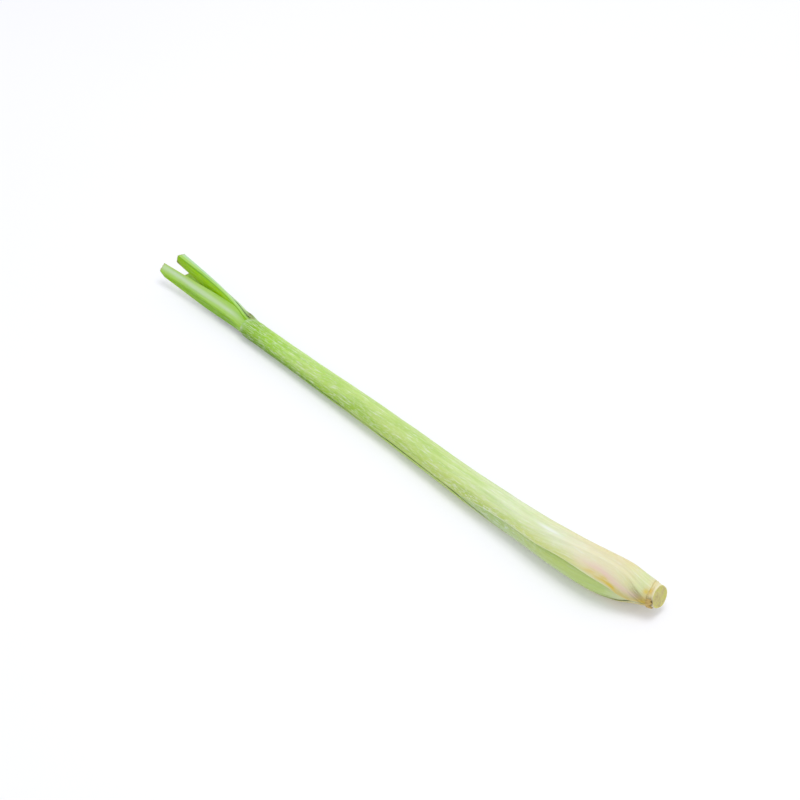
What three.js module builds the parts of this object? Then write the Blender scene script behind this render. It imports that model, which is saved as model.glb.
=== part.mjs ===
// A trimmed lemongrass stalk lying on a flat surface.
// Millimetres, +Z up, root end at +X, cut leaf blades at -X, underside on Z = 0.
//
// The stalk is a nest of four leaves. Each leaf is one growth: a long sheath that wraps the next
// leaf in, then a collar, then a short cut blade folded along its keel. The sheaths start one after
// another on a short solid stem, which shows only as the cut stub at the root end.

import * as THREE from 'three';

// ---------------------------------------------------------------- driving dimensions (mm, degrees)

const CUT_RADIUS = 4.9;          // cut stub at the root end
const CUT_SKEW = 2.8;            // how far the near side of the root cut is set back
const COLLAR_AT = 258.5;         // distance along the stalk from the root cut to the collars
const GAP = 0.32;                // air between one leaf and the next one in
const SAG = 0.3;                 // how far the soft underside flattens on the surface
const AXIS_DROOP = 0.8;          // how far the stub hangs below the axis of the bulb
const KEEL_ROUNDING = 0.7;       // width over which a folded blade turns at its keel
const MARGIN_THINNING = 0.68;    // share of the wall that is lost between keel and margin

// The stalk seen from above, from the root end to beyond the blade tips: a slight crook at the bulb.
const PLAN = [
  [172.2, 0], [158.5, -3.6], [144, -7.1], [125, -8.1], [75, -5.7], [10, -1.3], [-79, 3.3], [-154, 6.7],
];

// Outer radius of the outermost sheath: [distance from the root cut, radius].
const SHEATH_RADIUS = [
  [0, 4.9], [3, 5.35], [9, 6.6], [18, 8.7], [30, 9.55], [48, 9.1], [75, 7.85], [118, 6.75], [182, 5.8],
  [222, 5.2], [256, 4.9], [330, 4.6],
];

// Radius of the solid stem inside the sheaths, down to its blunt growing tip.
const STEM_RADIUS = [
  [0, CUT_RADIUS], [2.3, 5.1], [4.6, 5.5], [4.9, 4.3], [9, 3.7], [14, 3.2], [20, 2.9], [32, 2.4], [44, 0.9],
];

// Four leaves, from the outermost to the innermost. Angles are seen from the root end of the lying
// stalk: 0 is +Y, 90 is up. Tables are [distance from the root cut, value]. The keel of a sheath
// turns slowly around the stalk, and opposite leaves face opposite sides. In the blades, the upper
// side is the one where the angle falls and the lower side the one where it grows.
const LEAVES = [
  {
    name: 'outer_leaf',
    color: 0xc4dd96,
    segments: 22,
    base: 5.3,
    collar: COLLAR_AT,
    tip: 306,
    wall: [[3, 0.85], [18, 1.6], [48, 1.7], [118, 1.15], [256, 0.85], [306, 0.6]],
    keel: [[3, 18], [14, 19], [32, 16], [45, 17], [60, 20], [118, 8], [256, 14], [306, 24]],
    halfArc: [
      [3, 177], [11, 177], [15, 165], [21.5, 147], [32, 137], [45, 133], [59, 137], [74, 139], [90, 152],
      [104, 170], [118, 176], [256, 175],
    ],
    bladeArc: { lower: 38, upper: 60 },
    keelPath: [[268, 5.7, 7.0], [285, 6.9, 7.9], [306, 7.9, 9.5]],
    fold: 70,
    width: { lower: [[256, 3.0], [266, 3.7], [276, 3.3], [285, 2.4], [306, 1.5]], upper: [[256, 4.8], [306, 4.6]] },
    setback: { lower: 5, upper: 0 },
  },
  {
    name: 'second_leaf',
    color: 0xa9cc5e,
    segments: 20,
    base: 9.2,
    collar: COLLAR_AT - 2.5,
    tip: 320.5,
    wall: [[9, 0.8], [30, 1.5], [60, 1.5], [118, 1.0], [256, 0.75], [320, 0.55]],
    keel: [[9, 200], [60, 205], [118, 190], [254, 163], [320, 158]],
    halfArc: [[9, 174], [256, 172]],
    bladeArc: { lower: 60, upper: 50 },
    keelPath: [[266, -3.9, 6.8], [300, -4.6, 7.0], [320.5, -5.7, 7.2]],
    fold: 65,
    width: {
      lower: [[254, 4.0], [285, 4.5], [303, 3.4], [320, 1.8]],
      upper: [[254, 4.6], [262, 6.0], [275, 5.9], [285, 5.6], [300, 4.9], [320, 4.4]],
    },
    setback: { lower: 4, upper: 0 },
  },
  {
    name: 'third_leaf',
    color: 0x8fc234,
    segments: 16,
    base: 14.2,
    collar: COLLAR_AT - 3,
    tip: 316.5,
    wall: [[14, 0.7], [36, 1.2], [118, 0.8], [256, 0.6], [316, 0.5]],
    keel: [[14, 20], [118, 30], [253, 76], [266, 92], [300, 118], [316.5, 128]],
    halfArc: [[14, 172], [256, 170]],
    bladeArc: { lower: 58, upper: 58 },
    keelPath: [[267, 0.9, 10.1], [283, 2.3, 12.0], [300, 2.9, 13.1], [316.5, 2.8, 14.1]],
    fold: 42,
    width: {
      lower: [[253, 3.0], [285, 4.4], [300, 4.5], [316, 3.7]],
      upper: [[253, 2.8], [285, 2.9], [300, 3.1], [316, 3.5]],
    },
    setback: { lower: 0, upper: 0.8 },
  },
  {
    name: 'inner_leaf',
    color: 0xa6d83a,
    segments: 14,
    base: 19.2,
    collar: COLLAR_AT - 3.5,
    tip: 310.5,
    wall: [[19, 0.6], [40, 1.0], [118, 0.7], [256, 0.5], [305, 0.4]],
    keel: [[19, 200], [118, 190], [253, 150], [305, 140]],
    halfArc: [[19, 168], [256, 165]],
    bladeArc: { lower: 60, upper: 60 },
    keelPath: [[267, -0.6, 5.0], [305, 1.4, 5.5], [310.5, 1.6, 5.8]],
    fold: 65,
    width: { lower: [[253, 2.2], [305, 2.6]], upper: [[253, 2.2], [285, 3.0], [305, 3.4]] },
    setback: { lower: 0, upper: 1.2 },
  },
];

// ------------------------------------------------------------------------------- small helpers

const radians = THREE.MathUtils.degToRad;
const smooth = THREE.MathUtils.smoothstep;
const lerp = THREE.MathUtils.lerp;

// Value at s of a smooth curve through the rows [s, value] of a table (column picks the value).
function along(table, s, column = 1) {
  const last = table.length - 1;
  if (s <= table[0][0]) return table[0][column];
  if (s >= table[last][0]) return table[last][column];
  let i = 0;
  while (s > table[i + 1][0]) i += 1;
  const row = (n) => table[THREE.MathUtils.clamp(n, 0, last)];
  const [p0, p1, p2, p3] = [row(i - 1), row(i), row(i + 1), row(i + 2)];
  const span = p2[0] - p1[0];
  const slope = (a, b) => (b[0] === a[0] ? 0 : (b[column] - a[column]) / (b[0] - a[0]));
  const middle = slope(p1, p2);
  const steepest = 3 * Math.abs(middle);
  const limit = (m) => (m * middle <= 0 ? 0 : Math.sign(middle) * Math.min(Math.abs(m), steepest));
  const m1 = i === 0 ? middle : limit(slope(p0, p2));
  const m2 = i + 1 === last ? middle : limit(slope(p1, p3));
  const t = (s - p1[0]) / span;
  const t2 = t * t;
  const t3 = t2 * t;
  return (2 * t3 - 3 * t2 + 1) * p1[column] + (t3 - 2 * t2 + t) * span * m1
    + (3 * t2 - 2 * t3) * p2[column] + (t3 - t2) * span * m2;
}

const planPoints = PLAN.map(([x, y]) => new THREE.Vector3(x, y, 0));
const plan = new THREE.CatmullRomCurve3(planPoints, false, 'centripetal');
plan.arcLengthDivisions = 2000;
const planLength = plan.getLength();

// Height of the stalk's axis: the underside touches the surface, and the stub keeps the bulb's level.
function axisHeight(s) {
  const bulb = 30;
  const level = along(SHEATH_RADIUS, Math.max(s, bulb)) - SAG;
  return level - AXIS_DROOP * (1 - Math.min(s, bulb) / bulb) ** 2;
}

// Point at distance s along the stalk, moved sideways (towards +Y) and set at height z.
function place(s, sideways, z) {
  const u = THREE.MathUtils.clamp(s / planLength, 0, 1);
  const centre = plan.getPointAt(u);
  const heading = plan.getTangentAt(u);
  return new THREE.Vector3(centre.x + heading.y * sideways, centre.y - heading.x * sideways, z);
}

// ------------------------------------------------------------------------------- sheaths

// Wall of one leaf's sheath in the direction phi: full at the keel, thinner towards the margins.
function wallAt(leaf, s, phi) {
  const fromKeel = phi - radians(along(leaf.keel, s));
  const away = Math.abs(Math.atan2(Math.sin(fromKeel), Math.cos(fromKeel)));
  return along(leaf.wall, s) * (1 - MARGIN_THINNING * smooth(away, 0, radians(150)));
}

// Outer radius of leaf number `index`: the outline, less every wall and gap outside this leaf.
function outerRadius(index, s, phi) {
  let radius = along(SHEATH_RADIUS, s);
  for (const leaf of LEAVES.slice(0, index)) radius -= wallAt(leaf, s, phi) + GAP;
  return radius;
}

// Outer and inner point, in the cross-section plane, of a sheath at v (-1 upper margin, +1 lower).
function sheathSection(index, s, v) {
  const leaf = LEAVES[index];
  const side = v < 0 ? 'upper' : 'lower';
  const mouth = smooth(s, leaf.collar - 2.5, leaf.collar + 3);
  const arc = radians(lerp(along(leaf.halfArc, s), leaf.bladeArc[side], mouth));
  const phi = radians(along(leaf.keel, s)) + v * arc;
  const radius = outerRadius(index, s, phi);
  const at = (r) => [r * Math.cos(phi), axisHeight(s) + r * Math.sin(phi)];
  return { outer: at(radius), inner: at(radius - wallAt(leaf, s, phi)) };
}

// ------------------------------------------------------------------------------- blades

// A row of [outer, inner] points across a folded blade, from the upper margin to the lower one. Each
// half leaves the keel square to the keel's direction and turns to the fold angle within a short way.
function bladeSection(index, s) {
  const leaf = LEAVES[index];
  const keel = radians(along(leaf.keel, s));
  const start = leaf.collar;
  const startKeel = radians(along(leaf.keel, start));
  const root = outerRadius(index, start, startKeel);
  const rootHeight = axisHeight(start) + root * Math.sin(startKeel);
  const path = [[start, root * Math.cos(startKeel), rootHeight], ...leaf.keelPath];
  const ridge = [along(path, s, 1), along(path, s, 2)];
  const wall = along(leaf.wall, s);
  const half = leaf.segments / 2;
  const turn = Math.PI / 2 - radians(leaf.fold);
  const rows = [];
  for (const sign of [-1, 1]) {
    const width = along(leaf.width[sign < 0 ? 'upper' : 'lower'], s);
    let point = ridge;
    const side = [];
    for (let i = 0; i <= half; i += 1) {
      const run = (width * i) / half;
      const bend = turn * (1 - Math.exp(-run / KEEL_ROUNDING));
      const direction = keel + sign * (Math.PI / 2 + bend);
      const inward = direction + sign * Math.PI / 2;
      const thick = wall * (1 - 0.45 * (i / half));
      side.push([point, [point[0] + thick * Math.cos(inward), point[1] + thick * Math.sin(inward)]]);
      const nextBend = turn * (1 - Math.exp(-(run + width / half / 2) / KEEL_ROUNDING));
      const step = keel + sign * (Math.PI / 2 + nextBend);
      point = [point[0] + (width / half) * Math.cos(step), point[1] + (width / half) * Math.sin(step)];
    }
    rows.push(side);
  }
  const [upper, lower] = rows;
  return [...upper.slice(1).reverse(), ...lower].map(([outer, inner]) => ({ outer, inner }));
}

// One row of the leaf: sheath below the collar, blade beyond it, and a smooth change between them.
function leafSection(index, s) {
  const leaf = LEAVES[index];
  const change = smooth(s, leaf.collar + 0.5, leaf.collar + 15);
  const blade = change > 0 ? bladeSection(index, s) : null;
  const mix = (a, b) => [lerp(a[0], b[0], change), lerp(a[1], b[1], change)];
  const row = [];
  for (let i = 0; i <= leaf.segments; i += 1) {
    const v = (2 * i) / leaf.segments - 1;
    const sheath = sheathSection(index, s, v);
    const mixed = (key) => mix(sheath[key], blade[i][key]);
    row.push(blade ? { outer: mixed('outer'), inner: mixed('inner') } : sheath);
  }
  return row;
}

// Distances at which leaves are cut into rows: close at the bulb's root and at the collars.
function stations(from, to) {
  const zones = [
    [0, 30, 2.3], [30, 100, 8.5], [100, 240, 15], [240, 250, 3.3], [250, 262, 1.2], [262, 330, 6.8],
  ];
  const list = [from];
  for (const [start, end, step] of zones) {
    const count = Math.round((end - start) / step);
    for (let i = 0; i < count; i += 1) list.push(start + ((end - start) * i) / count);
  }
  const closest = 0.6;
  return [...list.filter((s) => s === from || (s > from + closest && s < to - closest)), to];
}

// ------------------------------------------------------------------------------- meshes

function meshGeometry(points, index) {
  const geometry = new THREE.BufferGeometry();
  const numbers = points.flatMap((p) => [p.x, p.y, p.z]);
  geometry.setAttribute('position', new THREE.Float32BufferAttribute(numbers, 3));
  geometry.setIndex(index);
  geometry.computeVertexNormals();
  return geometry;
}

// Closed body from rows of [outer, inner] rings: outer face, inner face, both margins, both ends.
function shellGeometry(outerRows, innerRows) {
  const rows = outerRows.length;
  const columns = outerRows[0].length;
  const points = [...outerRows.flat(), ...innerRows.flat()];
  const outer = (r, c) => r * columns + c;
  const inner = (r, c) => rows * columns + r * columns + c;
  const index = [];
  const quad = (a, b, c, d) => index.push(a, b, c, a, c, d);
  for (let r = 0; r < rows - 1; r += 1) {
    for (let c = 0; c < columns - 1; c += 1) {
      quad(outer(r, c), outer(r + 1, c), outer(r + 1, c + 1), outer(r, c + 1));
      quad(inner(r, c), inner(r, c + 1), inner(r + 1, c + 1), inner(r + 1, c));
    }
    quad(outer(r, 0), inner(r, 0), inner(r + 1, 0), outer(r + 1, 0));
    quad(outer(r, columns - 1), outer(r + 1, columns - 1), inner(r + 1, columns - 1), inner(r, columns - 1));
  }
  for (let c = 0; c < columns - 1; c += 1) {
    quad(outer(0, c), outer(0, c + 1), inner(0, c + 1), inner(0, c));
    quad(outer(rows - 1, c), inner(rows - 1, c), inner(rows - 1, c + 1), outer(rows - 1, c + 1));
  }
  return meshGeometry(points, index);
}

// Share of a blade's length by which a point steps back, so that the end is cut a little askew.
function setBack(leaf, s, v) {
  const reach = Math.max(0, (s - leaf.collar) / (leaf.tip - leaf.collar));
  return leaf.setback[v < 0 ? 'upper' : 'lower'] * Math.abs(v) * reach ** 2;
}

function leafGeometry(index) {
  const leaf = LEAVES[index];
  const outerRows = [];
  const innerRows = [];
  for (const s of stations(leaf.base, leaf.tip)) {
    const section = leafSection(index, s);
    const rowPoint = (key) => section.map((pair, i) => {
      const v = (2 * i) / leaf.segments - 1;
      const height = key === 'outer' ? Math.max(pair[key][1], 0) : pair[key][1];
      return place(s - setBack(leaf, s, v), pair[key][0], height);
    });
    outerRows.push(rowPoint('outer'));
    innerRows.push(rowPoint('inner'));
  }
  return shellGeometry(outerRows, innerRows);
}

// Solid round body around the stalk's axis, closed by a cut at each end, a little askew at the root.
function stemGeometry() {
  const sides = 20;
  const rings = [0, 1.7, ...STEM_RADIUS.slice(1).map(([s]) => s)];
  const points = [];
  for (const s of rings) {
    for (let i = 0; i < sides; i += 1) {
      const phi = (2 * Math.PI * i) / sides;
      const r = along(STEM_RADIUS, s);
      const near = (1 + Math.cos(phi - radians(130))) / 2;
      const skew = CUT_SKEW * near * Math.max(0, 1 - s / 4.6);
      points.push(place(s + skew, r * Math.cos(phi), axisHeight(s) + r * Math.sin(phi)));
    }
  }
  const index = [];
  for (let r = 0; r < rings.length - 1; r += 1) {
    for (let i = 0; i < sides; i += 1) {
      const [a, b] = [r * sides + i, r * sides + ((i + 1) % sides)];
      index.push(a, a + sides, b + sides, a, b + sides, b);
    }
  }
  const [head, tail] = [points.length, points.length + 1];
  points.push(place(CUT_SKEW / 2, 0, axisHeight(0)), place(rings.at(-1), 0, axisHeight(rings.at(-1))));
  for (let i = 0; i < sides; i += 1) {
    const next = (i + 1) % sides;
    const end = (rings.length - 1) * sides;
    index.push(head, i, next, tail, end + next, end + i);
  }
  return meshGeometry(points, index);
}

// Torn rim left on the stub by an older sheath that was peeled away.
function scaleGeometry() {
  const [from, to] = [radians(162), radians(245)];
  const [nearCut, nearSheath] = [3.0, 4.9];
  const columns = 12;
  const lift = GAP;
  const thick = 0.4;
  const row = (s, extra) => Array.from({ length: columns + 1 }, (_, c) => {
    const share = c / columns;
    const phi = lerp(from, to, share);
    const ragged = s === nearCut ? 0.35 * Math.sin(7 * share * Math.PI) : 0;
    const r = along(STEM_RADIUS, Math.min(s, 4.6)) + lift + extra * Math.sin(Math.PI * (0.12 + 0.76 * share));
    return place(s + ragged, r * Math.cos(phi), axisHeight(s) + r * Math.sin(phi));
  });
  const distances = [nearCut, (nearCut + nearSheath) / 2, nearSheath];
  return shellGeometry(distances.map((s) => row(s, thick)), distances.map((s) => row(s, 0)));
}

function piece(name, geometry, color, roughness) {
  const mesh = new THREE.Mesh(geometry, new THREE.MeshStandardMaterial({ color, roughness, metalness: 0 }));
  mesh.name = name;
  return mesh;
}

// ------------------------------------------------------------------------------- the stalk

const stalk = new THREE.Group();
stalk.name = 'lemongrass_stalk';
stalk.add(piece('stem_base', stemGeometry(), 0xdcd694, 0.7));
stalk.add(piece('old_sheath_scale', scaleGeometry(), 0xb08a4a, 0.85));
LEAVES.forEach((leaf, index) => stalk.add(piece(leaf.name, leafGeometry(index), leaf.color, 0.55)));

// The origin is the middle of the footprint, on the surface.
const box = new THREE.Box3().setFromObject(stalk);
stalk.position.set(-(box.min.x + box.max.x) / 2, -(box.min.y + box.max.y) / 2, -box.min.z);

export default stalk;
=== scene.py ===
# %% [markdown]
# # A trimmed stalk of lemongrass
#
# The stalk is a nest of four leaves on a short solid stem. Each leaf starts as a sheath, rolled round
# the next leaf in, and above its collar it becomes a folded blade, which has been cut short. The
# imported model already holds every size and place. This lesson draws each piece again on a fine grid,
# with the same numbers, and gives it a finish.

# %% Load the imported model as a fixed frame
import math

import bpy
import numpy as np
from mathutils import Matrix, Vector


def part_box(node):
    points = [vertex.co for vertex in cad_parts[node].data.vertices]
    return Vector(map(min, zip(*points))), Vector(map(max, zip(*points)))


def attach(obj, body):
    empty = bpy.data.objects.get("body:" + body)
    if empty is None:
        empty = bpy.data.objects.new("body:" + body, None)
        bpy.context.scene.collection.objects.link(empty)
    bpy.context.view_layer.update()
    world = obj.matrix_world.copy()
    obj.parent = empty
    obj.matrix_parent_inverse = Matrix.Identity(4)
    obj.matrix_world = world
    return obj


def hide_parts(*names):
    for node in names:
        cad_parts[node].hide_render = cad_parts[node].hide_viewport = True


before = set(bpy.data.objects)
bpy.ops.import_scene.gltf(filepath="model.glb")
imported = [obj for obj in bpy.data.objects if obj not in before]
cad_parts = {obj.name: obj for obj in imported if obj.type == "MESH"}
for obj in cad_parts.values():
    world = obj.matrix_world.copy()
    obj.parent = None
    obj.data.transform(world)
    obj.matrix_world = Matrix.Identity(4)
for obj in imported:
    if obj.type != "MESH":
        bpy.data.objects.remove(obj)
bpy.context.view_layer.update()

print("packed nodes:", sorted(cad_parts))

# %% [markdown]
# ## The camera
#
# A camera on a tripod looks down at the stalk from the root side, 40 degrees above the table. A long
# lens keeps the stalk from tapering too much with distance. It is made first, since every later
# decision about detail depends on what it sees.

# %% Camera
AIM = Vector((-0.013114, 0.021346, 0.0))
AROUND, ABOVE, AWAY = math.radians(45), math.radians(40), 1.0222
camera_data = bpy.data.cameras.new("camera")
camera_data.lens = 100
camera_data.sensor_width = 36
camera = bpy.data.objects.new("camera", camera_data)
bpy.context.scene.collection.objects.link(camera)
toward = Vector((math.sin(AROUND) * math.cos(ABOVE), -math.cos(AROUND) * math.cos(ABOVE), math.sin(ABOVE)))
camera.location = AIM + toward * AWAY
camera.rotation_mode = "QUATERNION"
camera.rotation_quaternion = (-toward).to_track_quat("-Z", "Y")
bpy.context.scene.camera = camera
print("camera stands at", [round(c, 3) for c in camera.location])

# %% [markdown]
# ## The numbers of the stalk
#
# A plant has no drawing, so its shape is kept as short tables: how thick the stalk is at some
# distances from the root cut, and for each leaf where its keel points, how far it wraps round and how
# thick its wall is. All are in millimetres and degrees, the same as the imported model's. Angles are
# seen from the root end of the lying stalk: 0 is the back, 90 is up, 270 is down.

# %% Sizes of the stalk and of its four leaves
MM = 0.001
CUT_RADIUS = 4.9
CUT_SKEW = 2.8
GAP = 0.32
SAG = 0.3
AXIS_DROOP = 0.8
KEEL_ROUNDING = 0.7
MARGIN_THINNING = 0.68
NEAR_SIDE = 130
STUB_LENGTH = 4.6
RIB_SPACING = 1.6
MOUTH_SLANT = 2.6
PLAN = [(172.2, 0), (158.5, -3.6), (144, -7.1), (125, -8.1), (75, -5.7), (10, -1.3), (-79, 3.3), (-154, 6.7)]
SHEATH_RADIUS = [
    (0, 4.9), (3, 5.35), (9, 6.6), (18, 8.7), (30, 9.55), (48, 9.1), (75, 7.85), (118, 6.75), (182, 5.8),
    (222, 5.2), (256, 4.9), (330, 4.6),
]
STEM_RADIUS = [
    (0, CUT_RADIUS), (2.3, 5.1), (4.6, 5.5), (4.9, 4.3), (9, 3.7), (14, 3.2), (20, 2.9), (32, 2.4), (44, 0.9),
]
LEAVES = [
    {
        "name": "outer_leaf", "base": 5.3, "collar": 258.5, "tip": 306, "fold": 70,
        "wall": [(3, 0.85), (18, 1.6), (48, 1.7), (118, 1.15), (256, 0.85), (306, 0.6)],
        "keel": [(3, 18), (14, 19), (32, 16), (45, 17), (60, 20), (118, 8), (256, 14), (306, 24)],
        "half_arc": [
            (3, 177), (11, 177), (15, 165), (21.5, 147), (32, 137), (45, 133), (59, 137), (74, 139),
            (90, 152), (104, 170), (118, 176), (256, 175),
        ],
        "blade_arc": (60, 38), "keel_path": [(268, 5.7, 7.0), (285, 6.9, 7.9), (306, 7.9, 9.5)],
        "upper": [(256, 4.8), (306, 4.6)],
        "lower": [(256, 3.0), (266, 3.7), (276, 3.3), (285, 2.4), (306, 1.5)], "setback": (0, 5),
    },
    {
        "name": "second_leaf", "base": 9.2, "collar": 256, "tip": 320.5, "fold": 65,
        "wall": [(9, 0.8), (30, 1.5), (60, 1.5), (118, 1.0), (256, 0.75), (320, 0.55)],
        "keel": [(9, 200), (60, 205), (118, 190), (254, 163), (320, 158)],
        "half_arc": [(9, 174), (256, 172)],
        "blade_arc": (50, 60), "keel_path": [(266, -3.9, 6.8), (300, -4.6, 7.0), (320.5, -5.7, 7.2)],
        "upper": [(254, 4.6), (262, 6.0), (275, 5.9), (285, 5.6), (300, 4.9), (320, 4.4)],
        "lower": [(254, 4.0), (285, 4.5), (303, 3.4), (320, 1.8)], "setback": (0, 4),
    },
    {
        "name": "third_leaf", "base": 14.2, "collar": 255.5, "tip": 316.5, "fold": 42,
        "wall": [(14, 0.7), (36, 1.2), (118, 0.8), (256, 0.6), (316, 0.5)],
        "keel": [(14, 20), (118, 30), (253, 76), (266, 92), (300, 118), (316.5, 128)],
        "half_arc": [(14, 172), (256, 170)],
        "blade_arc": (58, 58),
        "keel_path": [(267, 0.9, 10.1), (283, 2.3, 12.0), (300, 2.9, 13.1), (316.5, 2.8, 14.1)],
        "upper": [(253, 2.8), (285, 2.9), (300, 3.1), (316, 3.5)],
        "lower": [(253, 3.0), (285, 4.4), (300, 4.5), (316, 3.7)],
        "setback": (0.8, 0),
    },
    {
        "name": "inner_leaf", "base": 19.2, "collar": 255, "tip": 310.5, "fold": 65,
        "wall": [(19, 0.6), (40, 1.0), (118, 0.7), (256, 0.5), (305, 0.4)],
        "keel": [(19, 200), (118, 190), (253, 150), (305, 140)],
        "half_arc": [(19, 168), (256, 165)],
        "blade_arc": (60, 60), "keel_path": [(267, -0.6, 5.0), (305, 1.4, 5.5), (310.5, 1.6, 5.8)],
        "upper": [(253, 2.2), (285, 3.0), (305, 3.4)], "lower": [(253, 2.2), (305, 2.6)],
        "setback": (1.2, 0),
    },
]
print("leaves, outermost first:", [leaf["name"] for leaf in LEAVES])

# %% [markdown]
# ## A smooth curve through a table
#
# Straight lines between rows would leave corners in the bulb. A cubic through the rows is smooth, but
# a plain one can swing past them, which would make a wall thicker than its neighbour allows. So each
# slope is held back to three times the slope of its own span, which keeps the curve between its rows.


# %% Curve through a table, and a soft step
def along(table, s, column=1):
    """Cubic Hermite curve through the rows (distance, value): the slope at a row is the slope between
    its two neighbours, made zero where it would turn back and at most three times the span's own."""
    rows = np.asarray(table, float)
    x, y = rows[:, 0], rows[:, column]
    last = len(x) - 1
    i = np.clip(np.searchsorted(x, s, side="left") - 1, 0, last - 1)
    before, after = np.clip(i - 1, 0, last), np.clip(i + 2, 0, last)
    span = x[i + 1] - x[i]
    middle = (y[i + 1] - y[i]) / span
    slopes = [(y[i + 1] - y[before]) / (x[i + 1] - x[before]), (y[after] - y[i]) / (x[after] - x[i])]
    held = [
        np.where(m * middle <= 0, 0, np.sign(middle) * np.minimum(abs(m), 3 * abs(middle))) for m in slopes
    ]
    m1 = np.where(i == 0, middle, held[0])
    m2 = np.where(i + 1 == last, middle, held[1])
    t = np.clip((s - x[i]) / span, 0, 1)
    value = (2 * t**3 - 3 * t**2 + 1) * y[i] + (t**3 - 2 * t**2 + t) * span * m1
    return value + (3 * t**2 - 2 * t**3) * y[i + 1] + (t**3 - t**2) * span * m2


def soft_step(x, start, end):
    """0 before start, 1 after end, and between them three times the square less twice the cube."""
    t = np.clip((np.asarray(x, float) - start) / (end - start), 0, 1)
    return t * t * (3 - 2 * t)


def hill(x, middle, width):
    """Bell curve: 1 at the middle, about a third one width away from it."""
    return np.exp(-(((x - middle) / width) ** 2))


def waves(a, b, seed, count=24):
    """Uneven field between about -1 and 1: the mean of sine waves with random directions and phases,
    each one about 1 unit to 3 units long in a and in b."""
    random = np.random.default_rng(seed)
    fa, fb = random.uniform(-6, 6, count), random.uniform(-6, 6, count)
    phase = random.uniform(0, 2 * math.pi, count)
    return sum(np.sin(fa[k] * a + fb[k] * b + phase[k]) for k in range(count)) / math.sqrt(count)


print("outline radius 30 mm from the cut:", round(float(along(SHEATH_RADIUS, 30)), 2), "mm")

# %% [markdown]
# ## The crook of the stalk
#
# A lemongrass stalk grows a slight crook just above its root. Seen from above, its axis is a curve
# through a few points. A centripetal Catmull-Rom curve passes through all of them without loops,
# however unevenly they are spaced. It is measured once, so that a distance along the stalk can be
# looked up.


# %% The plan curve
def measured_curve(points, per_span=400):
    """Centripetal Catmull-Rom: on each span a cubic whose end slopes weigh the neighbours by the
    square roots of the distances. Returns the distance run, the points and the unit headings."""
    rows = np.asarray(points, float)
    rows = np.vstack([2 * rows[0] - rows[1], rows, 2 * rows[-1] - rows[-2]])
    p0, p1, p2, p3 = rows[:-3], rows[1:-2], rows[2:-1], rows[3:]
    d0, d1, d2 = (np.sqrt(np.linalg.norm(b - a, axis=1))[:, None] for a, b in ((p0, p1), (p1, p2), (p2, p3)))
    t1 = ((p1 - p0) / d0 - (p2 - p0) / (d0 + d1) + (p2 - p1) / d1) * d1
    t2 = ((p2 - p1) / d1 - (p3 - p1) / (d1 + d2) + (p3 - p2) / d2) * d1
    u = np.linspace(0, 1, per_span, endpoint=False)[None, :, None]
    c2, c3 = -3 * p1 + 3 * p2 - 2 * t1 - t2, 2 * p1 - 2 * p2 + t1 + t2
    curve = p1[:, None] + t1[:, None] * u + c2[:, None] * u**2 + c3[:, None] * u**3
    curve = np.vstack([curve.reshape(-1, 2), rows[-2]])
    steps = np.diff(curve, axis=0)
    run = np.concatenate([[0], np.cumsum(np.linalg.norm(steps, axis=1))])
    heading = np.gradient(curve, run, axis=0)
    return run, curve, heading / np.linalg.norm(heading, axis=1)[:, None]


RUN, CURVE, HEADING = measured_curve(PLAN)


def axis_height(s):
    """The outline's radius less the sag, from the bulb on; towards the cut it droops by a square law."""
    bulb = 30
    level = along(SHEATH_RADIUS, np.maximum(s, bulb)) - SAG
    return level - AXIS_DROOP * (1 - np.minimum(s, bulb) / bulb) ** 2


def place(s, sideways, height, shift=(0.0, 0.0)):
    """Point at distance s on the plan curve, moved square to its heading by sideways, at height."""
    x, y, hx, hy = (np.interp(s, RUN, column) for column in (*CURVE.T, *HEADING.T))
    grid = np.broadcast_arrays(x + hy * sideways + shift[0], y - hx * sideways + shift[1], height)
    return np.stack(grid, axis=-1)


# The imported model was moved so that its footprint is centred. The stem shows by how much.
stem_s = np.array([0, 1.7] + [row[0] for row in STEM_RADIUS[1:]])[:, None]
stem_phi = np.linspace(0, 2 * math.pi, 20, endpoint=False)[None, :]
stem_r = along(STEM_RADIUS, stem_s)
skew = CUT_SKEW * (1 + np.cos(stem_phi - math.radians(NEAR_SIDE))) / 2
skew = skew * np.maximum(0, 1 - stem_s / STUB_LENGTH)
stem_rings = place(stem_s + skew, stem_r * np.cos(stem_phi), axis_height(stem_s) + stem_r * np.sin(stem_phi))
stem_low, stem_high = (np.array(corner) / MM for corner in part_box("stem_base"))
SHIFT = ((stem_low + stem_high) / 2 - (stem_rings.min(axis=(0, 1)) + stem_rings.max(axis=(0, 1))) / 2)[:2]
print("the drawing is moved by", SHIFT.round(3), "mm")

# %% [markdown]
# ## One leaf as two parameters
#
# Everything about a leaf is a function of two numbers: s, the distance from the root cut, and v,
# which runs from -1 at the upper margin over 0 at the keel to +1 at the lower margin. Below the
# collar the leaf is a rolled sheath, so v is an angle round the stalk. Above it, it is a folded
# blade, so v is a way out from the keel. Both are worked out over the whole grid, and mixed over 15
# mm at the collar.


# %% Sheath and blade sections
def turned(leaf, s):
    """Direction of the keel at s, in radians."""
    return np.radians(along(leaf["keel"], s))


def wall_at(leaf, s, phi):
    """Wall thickness: full at the keel, and thinned by a soft step with the angle away from it."""
    away = np.abs(np.angle(np.exp(1j * (phi - turned(leaf, s)))))
    return along(leaf["wall"], s) * (1 - MARGIN_THINNING * soft_step(away, 0, math.radians(150)))


def outer_radius(index, s, phi):
    """The stalk's outline, less every wall and gap outside this leaf."""
    return along(SHEATH_RADIUS, s) - sum(wall_at(leaf, s, phi) + GAP for leaf in LEAVES[:index])


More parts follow.
